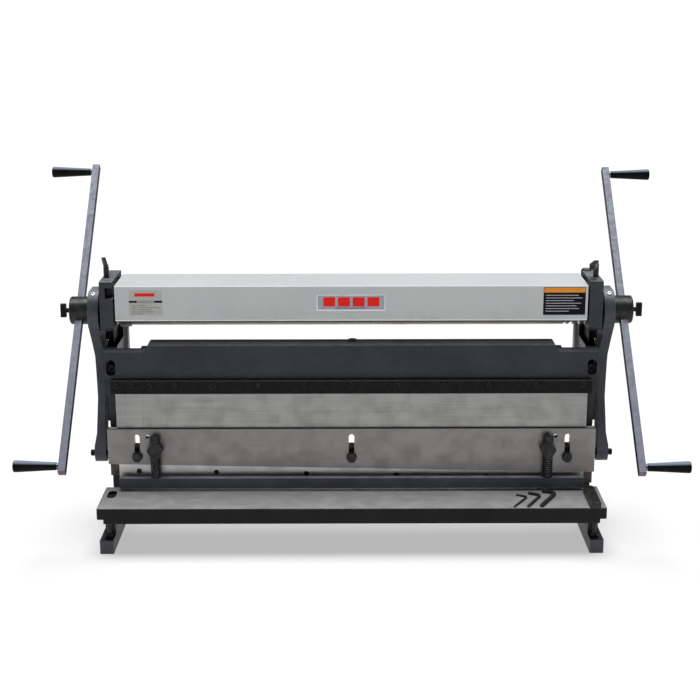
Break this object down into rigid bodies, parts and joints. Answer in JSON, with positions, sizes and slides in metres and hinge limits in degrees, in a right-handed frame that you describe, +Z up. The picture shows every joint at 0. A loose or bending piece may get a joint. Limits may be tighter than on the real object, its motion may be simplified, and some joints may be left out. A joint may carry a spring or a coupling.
{
  "type": "sheet metal brake",
  "caption": "Hand-cranked bench machine for sheet metal with a bottom shear, a segmented press brake and a covered slip roll between cast side frames.",
  "frame": {"origin": "centre of the four foot bolt holes, on the bench plane", "axes": "+X to the operator's right along the rolls, +Y to the back, +Z up"},
  "size_m": [1.382, 0.5947, 0.7647],
  "materials": {
    "frame_casting": "painted dark blue-grey, slightly textured",
    "bracket_casting": "painted dark blue-grey",
    "table_plate": "ground top, dark painted edges",
    "ground_steel": "ground, slightly oily",
    "tool_steel": "ground",
    "blackened_steel": "black oxide",
    "screw_steel": "black oxide",
    "bright_screw": "zinc plated",
    "roll_steel": "turned, oiled",
    "ram_casting": "bare, brownish, oiled",
    "bar_paint": "lavender-grey enamel",
    "hub_black": "dark machined hub",
    "grip_plastic": "glossy black",
    "cover_paint": "light grey powder coat",
    "bronze": "bearing bronze",
    "spring_wire": "spring steel",
    "knob_plastic": "moulded black",
    "key_steel": "hex key, dark plated"
  },
  "bodies": {
    "machine": {"side_frame_left": "frame_casting", "side_frame_right": "frame_casting", "tie_rods": "blackened_steel", "table": "table_plate", "table_screws": "screw_steel", "table_jack_screws": "screw_steel", "lower_blade": "tool_steel", "lower_blade_screws": "screw_steel", "side_guide": "ground_steel", "hex_keys": "key_steel", "upper_beam": "frame_casting", "beam_bolts": "screw_steel", "clamp_bar": "blackened_steel", "clamp_screws": "bright_screw", "punch_fingers": "tool_steel", "ram_gibs": "blackened_steel", "roll_bracket_left": "bracket_casting", "roll_bracket_right": "bracket_casting", "roll_bushes": "bronze", "rear_roll_guides": "bracket_casting", "cover_hinge_pins": "bright_screw"},
    "crank": {"lower_roll": "roll_steel", "lower_gear": "ground_steel", "crank_hub_left": "hub_black", "crank_hub_right": "hub_black", "crank_bar_left": "bar_paint", "crank_bar_right": "bar_paint", "grip_spindles": "bright_screw", "hub_set_screws": "screw_steel"},
    "ram": {"ram": "ram_casting", "v_die_plate": "ground_steel", "die_bolts": "bright_screw", "upper_blade": "tool_steel", "upper_blade_screws": "screw_steel", "spring_posts": "ground_steel", "hold_down_springs": "spring_wire"},
    "hold_down": {"hold_down_bar": "frame_casting", "hold_down_rods": "bright_screw"},
    "rod_left": {"connecting_rod_left": "frame_casting", "big_end_bush_left": "bronze", "rod_pin_left": "blackened_steel"},
    "rod_right": {"connecting_rod_right": "frame_casting", "big_end_bush_right": "bronze", "rod_pin_right": "blackened_steel"},
    "upper_blocks": {"upper_roll_blocks": "bronze"},
    "upper_roll": {"upper_roll": "roll_steel", "upper_gear": "ground_steel"},
    "pressure_screw_left": {"pressure_screw_left": "hub_black"},
    "pressure_screw_right": {"pressure_screw_right": "hub_black"},
    "rear_blocks": {"rear_roll_blocks": "blackened_steel"},
    "rear_roll": {"rear_roll": "roll_steel"},
    "lock_knob_left": {"lock_knob_left": "knob_plastic"},
    "lock_knob_right": {"lock_knob_right": "knob_plastic"},
    "clamp_screw_left": {"crank_clamp_screw_left": "bright_screw"},
    "clamp_screw_right": {"crank_clamp_screw_right": "bright_screw"},
    "grip_top_left": {"grip_top_left": "grip_plastic"},
    "grip_bottom_left": {"grip_bottom_left": "grip_plastic"},
    "grip_top_right": {"grip_top_right": "grip_plastic"},
    "grip_bottom_right": {"grip_bottom_right": "grip_plastic"},
    "roll_cover": {"roll_cover": "cover_paint"}
  },
  "joints": [
    {"name": "crank_turn", "type": "hinge", "parent": "machine", "child": "crank", "pos_m": [0, 0.01, 0.472], "axis": [1, 0, 0], "range_deg": [0, 180]},
    {"name": "ram_slide", "type": "slide", "parent": "machine", "child": "ram", "axis": [0, 0, 1], "range_m": [-0.024, 0]},
    {"name": "hold_down_slide", "type": "slide", "parent": "ram", "child": "hold_down", "axis": [0, 0, 1], "range_m": [0, 0.0178], "deforming": ["hold_down_springs"]},
    {"name": "rod_swing_left", "type": "hinge", "parent": "crank", "child": "rod_left", "pos_m": [-0.5625, 0.01, 0.484], "axis": [1, 0, 0], "range_deg": [-180, 0]},
    {"name": "rod_swing_right", "type": "hinge", "parent": "crank", "child": "rod_right", "pos_m": [0.5625, 0.01, 0.484], "axis": [1, 0, 0], "range_deg": [-180, 0]},
    {"name": "pressure_turn_left", "type": "hinge", "parent": "machine", "child": "pressure_screw_left", "pos_m": [-0.5285, 0, 0.56], "axis": [0, 0, 1], "range_deg": [0, 160]},
    {"name": "pressure_turn_right", "type": "hinge", "parent": "machine", "child": "pressure_screw_right", "pos_m": [0.5285, 0, 0.56], "axis": [0, 0, 1], "range_deg": [0, 160]},
    {"name": "upper_blocks_slide", "type": "slide", "parent": "machine", "child": "upper_blocks", "axis": [0, 0, 1], "range_m": [0, 0.00078]},
    {"name": "upper_roll_turn", "type": "hinge", "parent": "upper_blocks", "child": "upper_roll", "pos_m": [0, 0.01, 0.5145], "axis": [1, 0, 0], "range_deg": [-180, 0]},
    {"name": "rear_blocks_slide", "type": "slide", "parent": "machine", "child": "rear_blocks", "axis": [0, -0.2, 0.9798], "range_m": [0, 0.02]},
    {"name": "rear_roll_turn", "type": "hinge", "parent": "rear_blocks", "child": "rear_roll", "pos_m": [0, 0.054, 0.478], "axis": [1, 0, 0], "continuous": true},
    {"name": "lock_knob_turn_left", "type": "hinge", "parent": "rear_blocks", "child": "lock_knob_left", "pos_m": [-0.4965, 0.098, 0.478], "axis": [0, 1, 0], "continuous": true},
    {"name": "lock_knob_turn_right", "type": "hinge", "parent": "rear_blocks", "child": "lock_knob_right", "pos_m": [0.4965, 0.098, 0.478], "axis": [0, 1, 0], "continuous": true},
    {"name": "clamp_screw_turn_left", "type": "hinge", "parent": "crank", "child": "clamp_screw_left", "pos_m": [-0.61, 0.01, 0.484], "axis": [1, 0, 0], "continuous": true},
    {"name": "clamp_screw_turn_right", "type": "hinge", "parent": "crank", "child": "clamp_screw_right", "pos_m": [0.61, 0.01, 0.484], "axis": [1, 0, 0], "continuous": true},
    {"name": "grip_spin_top_left", "type": "hinge", "parent": "crank", "child": "grip_top_left", "pos_m": [-0.65, 0.287, 0.74778], "axis": [1, 0, 0], "continuous": true},
    {"name": "grip_spin_bottom_left", "type": "hinge", "parent": "crank", "child": "grip_bottom_left", "pos_m": [-0.65, -0.26482, 0.22229], "axis": [1, 0, 0], "continuous": true},
    {"name": "grip_spin_top_right", "type": "hinge", "parent": "crank", "child": "grip_top_right", "pos_m": [0.65, 0.28426, 0.73975], "axis": [1, 0, 0], "continuous": true},
    {"name": "grip_spin_bottom_right", "type": "hinge", "parent": "crank", "child": "grip_bottom_right", "pos_m": [0.65, -0.27303, 0.22007], "axis": [1, 0, 0], "continuous": true},
    {"name": "cover_hinge", "type": "hinge", "parent": "machine", "child": "roll_cover", "pos_m": [0, 0.072, 0.543], "axis": [-1, 0, 0], "range_deg": [0, 100]}
  ],
  "couplings": [
    {"joint": "ram_slide", "follows": "crank_turn", "m_per_rad": -0.0076394},
    {"joint": "hold_down_slide", "follows": "crank_turn", "m_per_rad": 0.0056658},
    {"joint": "rod_swing_left", "follows": "crank_turn", "ratio": -1},
    {"joint": "rod_swing_right", "follows": "crank_turn", "ratio": -1},
    {"joint": "upper_roll_turn", "follows": "crank_turn", "ratio": -1},
    {"joint": "pressure_turn_left", "follows": "upper_blocks_slide", "rad_per_m": 3580},
    {"joint": "pressure_turn_right", "follows": "upper_blocks_slide", "rad_per_m": 3580}
  ]
}
